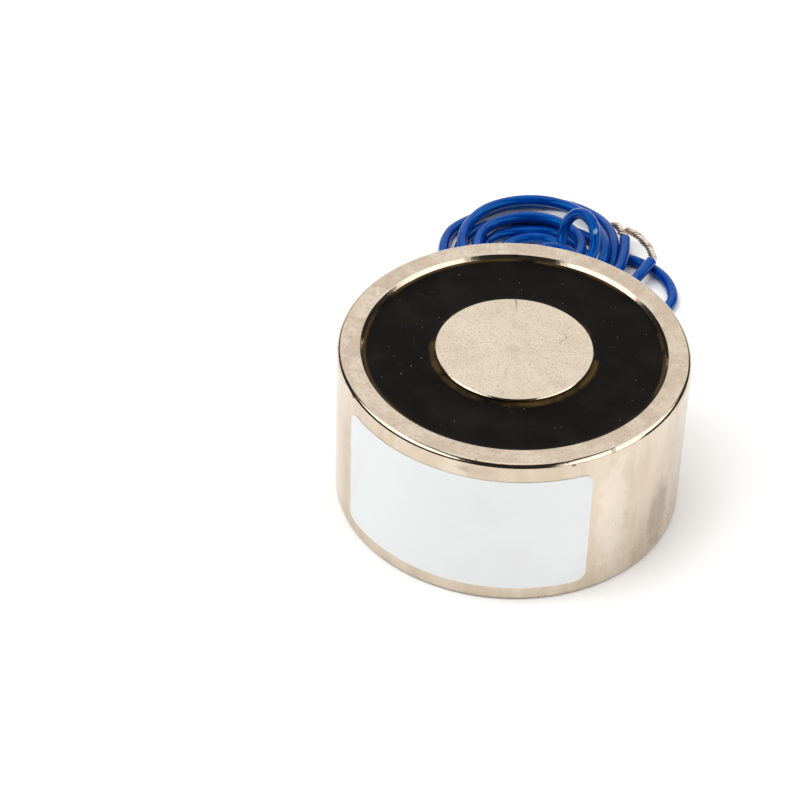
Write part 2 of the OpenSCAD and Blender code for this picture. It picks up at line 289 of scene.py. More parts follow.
# %% [markdown]
# The stripped ends are fine tinned strands twisted into a rope. One core and five strands
# round it are drawn as thin curves along a short bend, with the twist and a little seeded
# unevenness, and are then made a mesh. A screw modifier could twist them too, but only along
# a straight line. The rope leaves the cut insulation in the lead's own direction.

# %% Twist the stripped conductors
strand_r = 0.17
strand_bevel = 3
rope_r = 0.29
twist_pitch = 2.8
outer_strands = 5
rope_points = 48
straight_start = 0.6
tip_a = [(-0.8, 28.5, 2.3), (-1.5, 29.6, 2.1), (-2.4, 30.5, 1.7)]
tip_b = [(3.9, 26.0, 2.2), (3.1, 27.1, 2.2), (1.8, 28.4, 2.1), (0.5, 29.3, 2.0),
         (-0.8, 30.0, 1.7)]
strand_chance = np.random.default_rng(7)
stray_turn = 0.3
stray_least, stray_most = -0.25, 0.35
loose_most = 0.10
uneven_ends = 3


def rope_line(path, tips):
    """The rope's centreline: on from the lead's end, and round to the tip."""
    along = path[-1] - path[-2]
    along = along / np.linalg.norm(along)
    route = [path[-1], path[-1] + along * straight_start]
    line = smooth_line(route + [np.array(p) + from_wall for p in tips])
    return spaced(line, line_length(line) / (rope_points - 1))


def twisted_rope(name, path, tips):
    """A core and the strands round it, twisted along the rope's centreline."""
    centre = rope_line(path, tips)
    ahead = np.gradient(centre, axis=0)
    ahead /= np.linalg.norm(ahead, axis=1)[:, None]
    side = np.cross(ahead, (0, 0, 1))
    side /= np.linalg.norm(side, axis=1)[:, None]
    over = np.cross(side, ahead)
    gone = np.concatenate([[0], np.cumsum(np.linalg.norm(np.diff(centre, axis=0), axis=1))])
    strands = []
    for k in range(outer_strands + 1):
        stray = strand_chance.uniform(stray_least, stray_most)
        loose = strand_chance.uniform(0, loose_most)
        angle = 2 * math.pi * (gone / twist_pitch + (k + stray_turn * stray) / outer_strands)
        share = gone / gone[-1]
        radius = 0 * gone if k == outer_strands else rope_r + loose * np.sin(math.pi * share)
        strand = (centre + side * (radius * np.cos(angle))[:, None]
                  + over * (radius * np.sin(angle))[:, None])
        strands.append(strand[:rope_points - int(strand_chance.integers(0, uneven_ends))])
    rope = drawn(name, strands, strand_r * mm, strand_bevel)
    start_clean()
    bpy.context.view_layer.objects.active = rope
    rope.select_set(True)
    bpy.ops.object.convert(target="MESH")
    rope = bpy.context.object
    print(name, "length, mm:", round(gone[-1], 1), "faces:", len(rope.data.polygons))
    return rope


strands_a = twisted_rope("strands_a", path_a, tip_a)
strands_b = twisted_rope("strands_b", path_b, tip_b)

# %% [markdown]
# One tip was dipped in solder and pressed flat. The drop starts as a sphere that is scaled
# along the rope's last direction, and is joined to the strands, since it can't come off.

# %% Solder the first lead's tip
drop_size = (0.85, 0.52, 0.36)
drop_lead_in = 6


def soldered(rope, path, tips):
    """The rope with a flat drop of solder on its tip."""
    line = rope_line(path, tips)
    tip, along = line[-1], Vector(line[-1] - line[-drop_lead_in])
    start_clean()
    bpy.ops.mesh.primitive_uv_sphere_add(segments=28, ring_count=18, radius=mm,
                                         location=Vector(tip) * mm, scale=drop_size,
                                         rotation=along.to_track_quat("X", "Z").to_euler())
    bpy.ops.object.shade_smooth()
    rope.select_set(True)
    bpy.context.view_layer.objects.active = rope
    bpy.ops.object.join()
    return rope


strands_a = soldered(strands_a, path_a, tip_a)
print("strands_a faces with its solder:", len(strands_a.data.polygons))

# %% [markdown]
# A loose lead isn't a rigid part. It takes the place of the plain solids that hold its place in
# the CAD model, which are hidden, and it and its strands are hung on the root. Its length is
# printed.

for side, lead, path, strands in (("a", lead_a, path_a, strands_a),
                                  ("b", lead_b, path_b, strands_b)):
    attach(lead, "root")
    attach(strands, "root")
    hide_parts("conductor_" + side)
    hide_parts(f"lead_{side}_run", f"lead_{side}_end", "lead_coil")
    print(lead.name, "is a cord of, mm:", round(line_length(path), 1))

# %% [markdown]
# The pot is turned from bar, so half of its outline is enough. Every corner that a tool would
# break becomes a small arc, with one more point just before and after it, which keeps the
# shading of the flats clean. A Bevel modifier with weights could do it too, but here each
# round's size is simply a number in the outline.

# %% Round the corners of an outline
round_steps = 6
edge_hold = 0.05


def rounded(outline):
    """The outline's points with each corner (radius, height, round) turned into an arc."""
    points = []
    for k, (r, z, size) in enumerate(outline):
        corner = Vector((r, z))
        if not size:
            points.append(corner)
            continue
        back = (Vector(outline[k - 1][:2]) - corner).normalized()
        on = (Vector(outline[k + 1][:2]) - corner).normalized()
        half = back.angle(on) / 2
        reach = size / math.tan(half)
        middle = corner + (back + on).normalized() * (size / math.sin(half))
        first, last = corner + back * reach, corner + on * reach
        points.append(first + back * edge_hold)
        start = math.atan2(first.y - middle.y, first.x - middle.x)
        sweep = math.pi - 2 * half
        if back.x * on.y - back.y * on.x > 0:
            sweep = -sweep
        for s in range(round_steps + 1):
            angle = start + sweep * s / round_steps
            points.append(middle + size * Vector((math.cos(angle), math.sin(angle))))
        points.append(last + on * edge_hold)
    return points


print("points in a rounded corner:", len(rounded([(0, 0, 0), (2, 0, 0.5), (2, 2, 0)])) - 2)

# %% [markdown]
# The lathe draws the outline by extruding one vertex from point to point, and spins it a full
# turn. A subdivided cylinder could be pushed about instead, but a spun outline keeps the CAD
# model's sizes and its own crisp edges.

# %% A lathe for turned pieces
lathe_steps = 224
smooth_below = math.radians(30)


def edit_all():
    """Edit mode, with the whole mesh selected."""
    bpy.ops.object.mode_set(mode="EDIT")
    bpy.ops.mesh.select_all(action="SELECT")


def turned(name, outline, steps=lathe_steps):
    """A solid turned about Z from an outline that starts and ends on the axis or closes."""
    points = rounded(outline)
    start_clean()
    bpy.ops.mesh.primitive_plane_add(size=mm)
    piece = bpy.context.object
    piece.name = piece.data.name = name
    edit_all()
    bpy.ops.mesh.merge(type="CENTER")
    bpy.ops.transform.translate(value=(points[0].x * mm, 0, points[0].y * mm))
    for here, there in zip(points, points[1:]):
        step = ((there.x - here.x) * mm, 0, (there.y - here.y) * mm)
        bpy.ops.mesh.extrude_vertices_move(TRANSFORM_OT_translate={"value": step})
    bpy.ops.mesh.select_all(action="SELECT")
    bpy.ops.mesh.spin(steps=steps, angle=2 * math.pi, center=(0, 0, 0), axis=(0, 0, 1))
    bpy.ops.mesh.select_all(action="SELECT")
    bpy.ops.mesh.remove_doubles(threshold=1e-6)
    bpy.ops.mesh.normals_make_consistent(inside=False)
    bpy.ops.object.mode_set(mode="OBJECT")
    bpy.ops.object.shade_smooth_by_angle(angle=smooth_below)
    print(name, "faces:", len(piece.data.polygons))
    return piece


print("lathe steps a turn:", lathe_steps)

# %% [markdown]
# The pot's outline runs from the tip of the tapped hole, out over the back and up the wall,
# across the rim, down into the pocket and up the pole. The rim's outer edge is well rounded,
# while the mouth of the pocket is a flat bevel, which catches the light as a bright band.

# %% Turn the pot
pocket_radius = 17.0
pocket_floor = 4.0
pole_radius = 9.0
tap_radius = 2.1
tap_depth = 9.0
tap_tip = 10.26
thread_radius = 2.5
thread_depth = 8.6
back_break = 0.3
pole_break = 0.15
mouth_wide, mouth_deep = 0.4, 0.42
rim_round = 0.7
pocket_round = 0.3
back_round = 0.15
fine_round = 0.08
pole_round = 0.06
pot_outline = [(0, tap_tip, 0), (tap_radius, tap_depth, 0), (tap_radius, thread_depth, 0),
               (thread_radius, thread_depth, 0), (thread_radius, back_break, fine_round),
               (thread_radius + back_break, 0, fine_round),
               (pot_radius - back_break, 0, back_round), (pot_radius, back_break, back_round),
               (pot_radius, pot_height, rim_round),
               (pocket_radius + mouth_wide, pot_height, fine_round),
               (pocket_radius, pot_height - mouth_deep, fine_round),
               (pocket_radius, pocket_floor, pocket_round),
               (pole_radius, pocket_floor, pocket_round),
               (pole_radius, pot_height - pole_break, pole_round),
               (pole_radius - pole_break, pot_height, fine_round), (0, pot_height, 0)]
pot = turned("pot", pot_outline)

# %% [markdown]
# The exit hole for the leads is drilled as on the bench: a drill with a countersink is
# turned on the same lathe and taken away by a Boolean. The edges are then sorted into sharp
# and smooth again, because the cut leaves new ones.

# %% Drill the exit hole
exit_height = 6.6
exit_radius = 2.0
countersink = 0.4
drill_from, drill_past = 15.0, 22.0
drill_edge = pot_radius + 0.1
small_lathe = 48


def laid_along_y(piece, height):
    """Turns a lathe piece's mesh from the Z axis onto the Y axis, at a height."""
    turn = Matrix.Translation((0, 0, height * mm)) @ Matrix.Rotation(-math.pi / 2, 4, "X")
    piece.data.transform(turn)
    return piece


def apply_modifier(piece, kind, **settings):
    """Adds a modifier and applies it at once."""
    start_clean()
    bpy.context.view_layer.objects.active = piece
    piece.select_set(True)
    made = piece.modifiers.new(kind, kind)
    for setting, value in settings.items():
        setattr(made, setting, value)
    bpy.ops.object.modifier_apply(modifier=made.name)


drill_outline = [(0, drill_from, 0), (exit_radius, drill_from, 0),
                 (exit_radius, drill_edge - countersink, 0),
                 (exit_radius + countersink, drill_edge, 0),
                 (exit_radius + countersink, drill_past, 0), (0, drill_past, 0)]
drill = laid_along_y(turned("exit_drill", drill_outline, small_lathe), exit_height)
apply_modifier(pot, "BOOLEAN", object=drill, operation="DIFFERENCE", solver="EXACT")
bpy.data.objects.remove(drill)
bpy.ops.object.shade_smooth_by_angle(angle=smooth_below)
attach(pot, "root")
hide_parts("pot_housing")
print("pot faces after drilling:", len(pot.data.polygons))

# %% [markdown]
# The hole in the back is tapped. A bump would do from far away, but the thread shows in the
# mouth of the hole, so one tooth of it is drawn and swept up a helix by the Screw modifier.
# Its two open ends are then filled, so that the ridge is a closed solid.

# %% Cut the thread in the back hole
thread_pitch = 0.8
thread_turns = 10
thread_start = 0.35
thread_steps = 48
thread_smooth_below = math.radians(25)
tooth_foot = thread_radius + 0.03
tooth_tip = tap_radius + 0.02
tooth = [(tooth_foot, 0.0), (tooth_tip, 0.29), (tooth_tip, 0.47), (tooth_foot, 0.76)]

start_clean()
bpy.ops.mesh.primitive_plane_add(size=mm)
thread = bpy.context.object
thread.name = thread.data.name = "back_thread"
for vertex, (r, z) in zip([thread.data.vertices[i] for i in (0, 2, 3, 1)], tooth):
    vertex.co = Vector((r, 0, z + thread_start)) * mm
edit_all()
bpy.ops.mesh.delete(type="ONLY_FACE")
bpy.ops.object.mode_set(mode="OBJECT")
apply_modifier(thread, "SCREW", angle=2 * math.pi, screw_offset=thread_pitch * mm,
               iterations=thread_turns, steps=thread_steps, render_steps=thread_steps,
               use_merge_vertices=False)
edit_all()
bpy.ops.mesh.fill_holes(sides=4)
bpy.ops.mesh.select_all(action="SELECT")
bpy.ops.mesh.normals_make_consistent(inside=False)
bpy.ops.object.mode_set(mode="OBJECT")
bpy.ops.object.shade_smooth_by_angle(angle=thread_smooth_below)
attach(thread, "root")
print("thread faces:", len(thread.data.polygons))

# %% [markdown]
# The resin is poured, so its surface creeps up both walls in a small meniscus. It could be
# a flat ring with a bump, but the creep shows as a soft dark line at the pole's foot, so it
# is turned like the pot, from the rise at a few distances from a wall. A second, short
# piece stops the exit hole round the leads.

# %% Pour the resin
resin_level = 19.34
resin_under = 18.2
resin_hold = 0.02
creep = [(-resin_hold, 0.24), (0.08, 0.16), (0.25, 0.09), (0.6, 0.04), (1.4, 0.01)]
at_pole = [(pole_radius + away, resin_level + rise, 0) for away, rise in creep]
at_wall = [(pocket_radius - away, resin_level + rise, 0) for away, rise in reversed(creep)]
resin_middle = ((pole_radius + pocket_radius) / 2, resin_level, 0)
resin_foot = [(pocket_radius + resin_hold, resin_under, 0),
              (pole_radius - resin_hold, resin_under, 0)]
resin = turned("resin_ring", at_pole + [resin_middle] + at_wall + resin_foot + at_pole[:1])

plug_level = 19.42
plug_from = 16.6
plug_creep = [(0, 0.20), (0.1, 0.10), (0.3, 0.03), (0.7, 0)]
plug_outline = [(0, plug_from, 0), (exit_radius, plug_from, 0)]
plug_outline += [(exit_radius - away, plug_level + rise, 0) for away, rise in plug_creep]
plug_outline.append((0, plug_level, 0))
plug = laid_along_y(turned("exit_plug", plug_outline, small_lathe), exit_height)
for piece in (resin, plug):
    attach(piece, "root")
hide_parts("potting_resin")

# %% [markdown]
# The sticker is a thin sheet on a round wall. A Simple Deform modifier could bend it, but an
# angle for every point keeps its width exact. It starts as a flat plane whose corners are
# bevelled round, is cut into narrow upright strips, and each strip's distance from the
# middle then becomes an angle round the pot. Solidify gives it the film's thickness.

# %% Cut the label and wrap it round the wall
label_width = 31.0
label_low, label_high = 1.9, 17.6
label_corner = 1.2
label_corner_steps = 8
label_thickness = 0.09
label_strips = 48
label_lift = 0.01

start_clean()
bpy.ops.mesh.primitive_plane_add(size=1)
label = bpy.context.object
label.name = label.data.name = "label_sheet"
label.scale = (label_width * mm, (label_high - label_low) * mm, 1)
bpy.ops.object.transform_apply(location=False, rotation=False, scale=True)
edit_all()
bpy.ops.mesh.bevel(offset=label_corner * mm, segments=label_corner_steps, affect="VERTICES")
for k in range(1, label_strips):
    bpy.ops.mesh.select_all(action="SELECT")
    cut = (k / label_strips - 0.5) * label_width * mm
    bpy.ops.mesh.bisect(plane_co=(cut, 0, 0), plane_no=(1, 0, 0))
bpy.ops.object.mode_set(mode="OBJECT")
wrap_radius = pot_radius + label_lift
label_middle = (label_low + label_high) / 2
for vertex in label.data.vertices:
    angle = vertex.co.x / (wrap_radius * mm)
    vertex.co = Vector((wrap_radius * math.sin(angle) * mm, -wrap_radius * math.cos(angle) * mm,
                        vertex.co.y + label_middle * mm))
apply_modifier(label, "SOLIDIFY", thickness=label_thickness * mm, offset=1)
bpy.ops.object.shade_smooth_by_angle(angle=smooth_below)
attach(label, "root")
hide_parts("label")
print("label reaches, mm:", round(max(v.co.xy.length for v in label.data.vertices) / mm, 2))

# %% [markdown]
# Finishes are built from nodes, and a few small helpers make a cell read as a list of what
# feeds what. A value that is a socket is linked, and anything else is typed into the socket.

# %% Helpers for nodes
def put(tree, socket, value):
    """Links a socket to another one, or types a plain value into it."""
    if isinstance(value, bpy.types.NodeSocket):
        tree.links.new(value, socket)
    else:
        socket.default_value = value


def node(tree, kind, inputs=(), **settings):
    """A node with its settings made and its sockets linked or typed in."""
    made = tree.nodes.new(kind)
    for setting, value in settings.items():
        setattr(made, setting, value)
    for name, value in dict(inputs).items():
        put(tree, made.inputs[name], value)
    return made


def maths(tree, operation, a, b=0.0):
    return node(tree, "ShaderNodeMath", {0: a, 1: b}, operation=operation).outputs[0]


def times(tree, product, *others):
    """Several values multiplied together."""
    for other in others:
        product = maths(tree, "MULTIPLY", product, other)
    return product


def noise(tree, vector, scale, detail=2.0, roughness=0.5, distortion=0.0):
    """A cloudy value that changes from place to place."""
    made = node(tree, "ShaderNodeTexNoise", {"Vector": vector, "Scale": scale, "Detail": detail,
                "Roughness": roughness, "Distortion": distortion})
    return made.outputs["Fac"]


def graded(tree, value, low, high, to_low=0.0, to_high=1.0):
    """A value from low to high, as a soft step between two other values."""
    made = node(tree, "ShaderNodeMapRange", {"Value": value, "From Min": low, "From Max": high,
                "To Min": to_low, "To Max": to_high}, interpolation_type="SMOOTHSTEP")
    return made.outputs["Result"]

# %% [markdown]
# Some effects turn up on several surfaces: dust specks, fine scratches and the cloudy smears
# that handling leaves. Each is a node group with named sockets, built once and placed in a
# material with that surface's own values.

# %% Dust, scratches and smears
def effect(name, *values, vectors=()):
    """An empty node group that puts out one mask, with its inputs named."""
    tree = bpy.data.node_groups.new(name, "ShaderNodeTree")
    kinds = dict.fromkeys(("Vector", *vectors), "NodeSocketVector")
    kinds.update(dict.fromkeys(values, "NodeSocketFloat"))
    for socket, kind in kinds.items():
        tree.interface.new_socket(socket, in_out="INPUT", socket_type=kind)
    tree.interface.new_socket("Mask", in_out="OUTPUT", socket_type="NodeSocketFloat")
    given = node(tree, "NodeGroupInput").outputs
    result = node(tree, "NodeGroupOutput").inputs["Mask"]
    return tree, given, result


dust, given, result = effect("dust_specks", "Scale", "Share", "Size")
cells = node(dust, "ShaderNodeTexVoronoi", {"Vector": given["Vector"], "Scale": given["Scale"]})
chance = node(dust, "ShaderNodeSeparateColor", {"Color": cells.outputs["Color"]})
present = maths(dust, "LESS_THAN", chance.outputs["Red"], given["Share"])
reach = times(dust, given["Size"], chance.outputs["Green"])
inside = maths(dust, "LESS_THAN", cells.outputs["Distance"], reach)
dust.links.new(times(dust, present, inside), result)

scratches, given, result = effect("fine_scratches", "Scale", "Width", "Share")
long_way = node(scratches, "ShaderNodeMapping", {"Vector": given["Vector"],
                "Rotation": (0.2, 0.3, 0.7), "Scale": (1.0, 0.16, 0.4)})
lines = node(scratches, "ShaderNodeTexVoronoi", {"Vector": long_way.outputs[0],
             "Scale": given["Scale"]}, feature="DISTANCE_TO_EDGE")
thin = maths(scratches, "LESS_THAN", lines.outputs["Distance"], given["Width"])
patch = noise(scratches, given["Vector"], 260.0)
kept = maths(scratches, "LESS_THAN", patch, given["Share"])
scratches.links.new(times(scratches, thin, kept), result)

smears, given, result = effect("handling_smears", "Scale", "Low", "High")
cloud = noise(smears, given["Vector"], given["Scale"], 5.0, 0.6, 0.4)
smears.links.new(graded(smears, cloud, given["Low"], given["High"]), result)
print("effects:", [group.name for group in (dust, scratches, smears)])

# %% [markdown]
# A single mark is a line that tapers from its start to its end, and a stain is a soft ball
# with a ragged edge. Both are measured from a place, so they stay where they are put. They
# could be painted on an image, but a measure needs no unwrapping.

# %% Single marks and stains
def vector_maths(tree, operation, a, b=(0.0, 0.0, 0.0)):
    """A sum with vectors. It gives a vector, or a value when it measures."""
    made = node(tree, "ShaderNodeVectorMath", {0: a, 1: b}, operation=operation)
    measures = operation in ("LENGTH", "DISTANCE", "DOT_PRODUCT")
    return made.outputs["Value" if measures else "Vector"]


mark, given, result = effect("single_mark", "Width", vectors=("Start", "End"))
span = vector_maths(mark, "SUBTRACT", given["End"], given["Start"])
offset = vector_maths(mark, "SUBTRACT", given["Vector"], given["Start"])
done = vector_maths(mark, "DOT_PRODUCT", offset, span)
whole = vector_maths(mark, "DOT_PRODUCT", span, span)
share = node(mark, "ShaderNodeClamp", {"Value": maths(mark, "DIVIDE", done, whole)}).outputs[0]
foot = node(mark, "ShaderNodeVectorMath", {0: span, "Scale": share}, operation="SCALE").outputs[0]
wide = vector_maths(mark, "DISTANCE", offset, foot)
taper = times(mark, given["Width"], maths(mark, "SUBTRACT", 1.15, share))
mark.links.new(maths(mark, "LESS_THAN", wide, taper), result)

stain, given, result = effect("soft_stain", vectors=("Centre", "Size"))
offset = vector_maths(stain, "SUBTRACT", given["Vector"], given["Centre"])
inward = vector_maths(stain, "DIVIDE", offset, given["Size"])
far = vector_maths(stain, "LENGTH", inward)
ragged = noise(stain, given["Vector"], 700.0, 4.0)
worn = maths(stain, "ADD", far, maths(stain, "SUBTRACT", ragged, 0.5))
stain.links.new(graded(stain, worn, 0.45, 1.0, 1.0, 0.0), result)
print("effects:", [group.name for group in (mark, stain)])

# %% [markdown]
# Every finish is one Principled shader. These helpers start a material, lay colours over each
# other, feed the shader's sockets and turn a height into a bump.

# %% Helpers for materials
def blended(tree, share, a, b):
    """Colour a turning into colour b as share goes from 0 to 1."""
    made = node(tree, "ShaderNodeMix", {0: share, 6: a, 7: b}, data_type="RGBA")
    return made.outputs[2]


def tinted(tree, tone, mask, strength, colour):
    """A tone with a colour laid over it where a mask is, at some strength."""
    return blended(tree, times(tree, mask, strength), tone, colour)


def new_material(name):
    """A material with its tree, its shader and the place on the piece, in metres."""
    made = bpy.data.materials.new(name)
    made.use_nodes = True
    tree = made.node_tree
    shader = tree.nodes["Principled BSDF"]
    place = node(tree, "ShaderNodeTexCoord").outputs["Object"]
    return made, tree, shader, place


def feed(tree, shader, **inputs):
    """Links or types each value into the shader's socket of that name."""
    for name, value in inputs.items():
        put(tree, shader.inputs[name.replace("_", " ")], value)


def bumped(tree, height, strength, distance):
    made = node(tree, "ShaderNodeBump", {"Strength": strength, "Distance": distance,
                                         "Height": height})
    return made.outputs["Normal"]

# %% [markdown]
# The plating is dull nickel, a warm metal that isn't the same all over, so this step first
# finds its zones. Radius and height tell them apart, because the piece sits at the origin:
# the ground faces on top, the rounded edge below them, and the pole inside the resin.

# %% Zones of the nickel plate
def from_axis(tree, place):
    """The level part of a place, and its distance from the pot's axis."""
    flat = vector_maths(tree, "MULTIPLY", place, (1.0, 1.0, 0.0))
    return flat, vector_maths(tree, "LENGTH", flat)


nickel, tree, shader, place = new_material("nickel_plate")
height = node(tree, "ShaderNodeSeparateXYZ", {"Vector": place}).outputs["Z"]
flat, radius = from_axis(tree, place)
spoke = vector_maths(tree, "NORMALIZE", flat)
face = graded(tree, height, (pot_height - 0.05) * mm, (pot_height - 0.005) * mm)
edge = maths(tree, "SUBTRACT",
             graded(tree, height, (pot_height - 0.75) * mm, (pot_height - 0.6) * mm), face)
inner = graded(tree, radius, (pole_radius + 0.3) * mm, (pole_radius + 0.6) * mm, 1.0, 0.0)
print("nodes that find the zones:", len(tree.nodes))

# %% [markdown]
# Each zone has its own tone. The turned wall is streaked upright, the rim is gritty, and the
# pole keeps faint spokes from the grinding. Pits, sand and smears then lie over both faces.
# One noise for all would look like a cast part, so every mark of the work gets its own.

# %% Tones of the nickel plate
def effect_at(tree, group, place, **values):
    """The mask of an effect that is laid over a place, with a surface's own values."""
    made = node(tree, "ShaderNodeGroup", {"Vector": place, **values}, node_tree=group)
    return made.outputs["Mask"]


cloudy = effect_at(tree, smears, place, Scale=150.0, Low=0.35, High=0.72)
mottle = effect_at(tree, smears, place, Scale=620.0, Low=0.48, High=0.78)
worn_rim = effect_at(tree, smears, place, Scale=330.0, Low=0.38, High=0.62)
grit = effect_at(tree, smears, place, Scale=1100.0, Low=0.45, High=0.70)
pits = effect_at(tree, dust, place, Scale=2400.0, Share=0.16, Size=0.40)
fine = effect_at(tree, scratches, place, Scale=420.0, Width=0.005, Share=0.40)
spokes = noise(tree, spoke, 5.0, 5.0, 0.7)
sand = graded(tree, noise(tree, place, 3800.0, 3.0), 0.50, 0.68)
upright = vector_maths(tree, "MULTIPLY", place, (1.0, 1.0, 0.25))
streaks = noise(tree, upright, 330.0, 6.0, 0.65)

wall_tone = blended(tree, graded(tree, streaks, 0.35, 0.65), (0.565, 0.464, 0.355, 1),
                    (0.655, 0.562, 0.453, 1))
pole_tone = blended(tree, graded(tree, spokes, 0.30, 0.70), (0.70, 0.60, 0.49, 1),
                    (0.77, 0.67, 0.555, 1))
rim_tone = blended(tree, worn_rim, (0.73, 0.63, 0.52, 1), (0.60, 0.49, 0.39, 1))
rim_tone = tinted(tree, rim_tone, grit, 0.5, (0.47, 0.38, 0.29, 1))
face_tone = blended(tree, inner, rim_tone, pole_tone)
face_tone = tinted(tree, face_tone, mottle, 0.35, (0.49, 0.41, 0.31, 1))
face_tone = tinted(tree, face_tone, cloudy, 0.40, (0.66, 0.56, 0.41, 1))
face_tone = tinted(tree, face_tone, sand, 0.55, (0.42, 0.35, 0.28, 1))
face_tone = tinted(tree, face_tone, pits, 0.35, (0.30, 0.25, 0.20, 1))
tone = blended(tree, face, wall_tone, face_tone)
tone = tinted(tree, tone, fine, 0.15, (0.90, 0.86, 0.78, 1))
print("nickel nodes so far:", len(tree.nodes))

# %% [markdown]
# A few single marks lie where such a magnet gets them: scores on the pole and the wall, a pip
# in the pole's middle where the lathe's cut ends, nicks along the edge, a red spot on the rim's
# edge, a brown film round the pole's edge and grime on the wall. An upright band on the
# front-right of the wall is painted lighter, as a painted highlight.

# %% Marks and stains on the nickel plate, and a painted highlight
def at_mm(*place):
    return tuple(x * mm for x in place)


def stained(tree, place, centre, size):
    """The mask of one soft stain, with its centre and its size in millimetres."""
    return effect_at(tree, stain, place, Centre=at_mm(*centre), Size=at_mm(*size))


def either(tree, *masks):
    """One mask that is as strong as the strongest of several."""
    strongest = masks[0]
    for other in masks[1:]:
        strongest = maths(tree, "MAXIMUM", strongest, other)
    return strongest


score_lines = [((-2.6, 8.3, 20), (-1.9, 6.4, 20), 0.09),
               ((4.4, 2.7, 20), (5.6, 5.2, 20), 0.05),
               ((4.9, 3.9, 20), (4.1, 5.0, 20), 0.05),
               ((19.7, -4.2, 16.2), (19.6, -3.8, 15.2), 0.08)]
scores = either(tree, *[effect_at(tree, mark, place, Start=at_mm(*start), End=at_mm(*end),
                                  Width=thickness * mm) for start, end, thickness in score_lines])
tone = tinted(tree, tone, scores, 0.7, (0.20, 0.17, 0.13, 1))
pip = stained(tree, place, (-0.2, -0.3, 20), (1.1, 1.1, 1.0))
tone = tinted(tree, tone, pip, 0.30, (0.42, 0.37, 0.31, 1))
nicks = effect_at(tree, dust, place, Scale=900.0, Share=0.14, Size=0.5)
tone = tinted(tree, tone, times(tree, nicks, edge), 0.8, (0.12, 0.09, 0.07, 1))
rust = stained(tree, place, (-14.0, -14.2, 19.7), (0.5, 0.5, 0.3))
tone = tinted(tree, tone, rust, 0.8, (0.30, 0.05, 0.03, 1))
film = maths(tree, "SUBTRACT",
             graded(tree, height, (pot_height - 0.7) * mm, (pot_height - 0.55) * mm),
             graded(tree, height, (pot_height - 0.3) * mm, (pot_height - 0.15) * mm))
tone = tinted(tree, tone, times(tree, inner, film), 0.8, (0.14, 0.10, 0.04, 1))

grime = either(tree, stained(tree, place, (19.4, -4.8, 5.5), (3.0, 2.6, 6.5)),
               stained(tree, place, (2.4, -19.9, 18.8), (2.8, 1.5, 0.7)))
grime = times(tree, grime, graded(tree, streaks, 0.35, 0.60, 0.25, 1.0))
tone = tinted(tree, tone, grime, 0.75, (0.36, 0.30, 0.24, 1))
# painted highlight: an upright band on the front-right of the wall is made lighter, standing in for
# the bright reflection there
painted_wall_highlight = stained(tree, place, (15.9, -12.1, 11.0), (2.2, 3.0, 12.0))
tone = tinted(tree, tone, painted_wall_highlight, 0.5, (0.80, 0.73, 0.64, 1))
print("single scores on the nickel:", len(score_lines))

# %% [markdown]
# The ground faces are the dullest part, the turned wall is glossier, and the rounded edge is
# polished by use. The relief is one height for a single Bump node: a fine grain and a soft
# peel all over, deeper dents along the edge, and the scores cut in.

# %% Gloss and relief of the nickel plate
satin = graded(tree, cloudy, 0, 1, 0.36, 0.46)
gloss = graded(tree, either(tree, cloudy, grime), 0, 1, 0.17, 0.30)
polished = 0.11
rough = node(tree, "ShaderNodeMix", {0: face, 2: gloss, 3: satin}).outputs[0]
rough = node(tree, "ShaderNodeMix", {0: edge, 2: rough, 3: polished}).outputs[0]
grain = times(tree, noise(tree, place, 2600.0, 4.0), 0.35)
peel = noise(tree, place, 520.0, 2.0)
dents = times(tree, noise(tree, place, 480.0, 3.0), edge, 9.0)
relief = maths(tree, "ADD", maths(tree, "ADD", grain, peel), dents)
relief = maths(tree, "SUBTRACT", relief, times(tree, scores, 0.8))
feed(tree, shader, Base_Color=tone, Metallic=1.0, Roughness=rough,
     Normal=bumped(tree, relief, 0.2, 0.02 * mm))
print("nickel_plate nodes:", len(tree.nodes))

# %% [markdown]
# The resin is black but never clean: white dust sits on it, wiping leaves faint smears and
# scratches, and where it thins against the metal it shows its amber colour. A plain black
# would look like a hole, so its tone, its gloss and its surface all vary a little.

# %% Black resin
black, tree, shader, place = new_material("black_resin")
radius = from_axis(tree, place)[1]
specks = either(tree,
                effect_at(tree, dust, place, Scale=900.0, Share=0.11, Size=0.11),
                effect_at(tree, dust, place, Scale=1700.0, Share=0.15, Size=0.15))
cloudy = effect_at(tree, smears, place, Scale=210.0, Low=0.42, High=0.75)
wiped = effect_at(tree, scratches, place, Scale=380.0, Width=0.007, Share=0.40)
tone = blended(tree, cloudy, (0.0012, 0.0009, 0.0006, 1), (0.0085, 0.0066, 0.0050, 1))
tone = tinted(tree, tone, wiped, 0.05, (0.10, 0.09, 0.08, 1))
thin_edge = maths(tree, "ADD",
                  graded(tree, radius, (pole_radius + 0.3) * mm, (pole_radius + 0.8) * mm, 1.0, 0.0),
                  graded(tree, radius, (pocket_radius - 0.4) * mm, (pocket_radius - 0.05) * mm))
amber = times(tree, thin_edge,
              effect_at(tree, smears, place, Scale=130.0, Low=0.40, High=0.58))
tone = tinted(tree, tone, amber, 0.7, (0.085, 0.050, 0.014, 1))
tone = tinted(tree, tone, specks, 0.45, (0.30, 0.28, 0.26, 1))
waves = noise(tree, place, 330.0, 3.0)
feed(tree, shader, Base_Color=tone, Roughness=graded(tree, cloudy, 0, 1, 0.40, 0.60),
     Specular_IOR_Level=0.05, Normal=bumped(tree, waves, 0.25, 0.08 * mm))
print("black_resin nodes:", len(tree.nodes))

# %% [markdown]
# The leads have a smooth vinyl skin. Its blue varies a little along the wire, dust clings to
# it, and one turn carries a pale scuff. Real vinyl mirrors white, but so bright a tent would
# grey these thin turns, so the specular tint is an azure. That is a choice for the look.

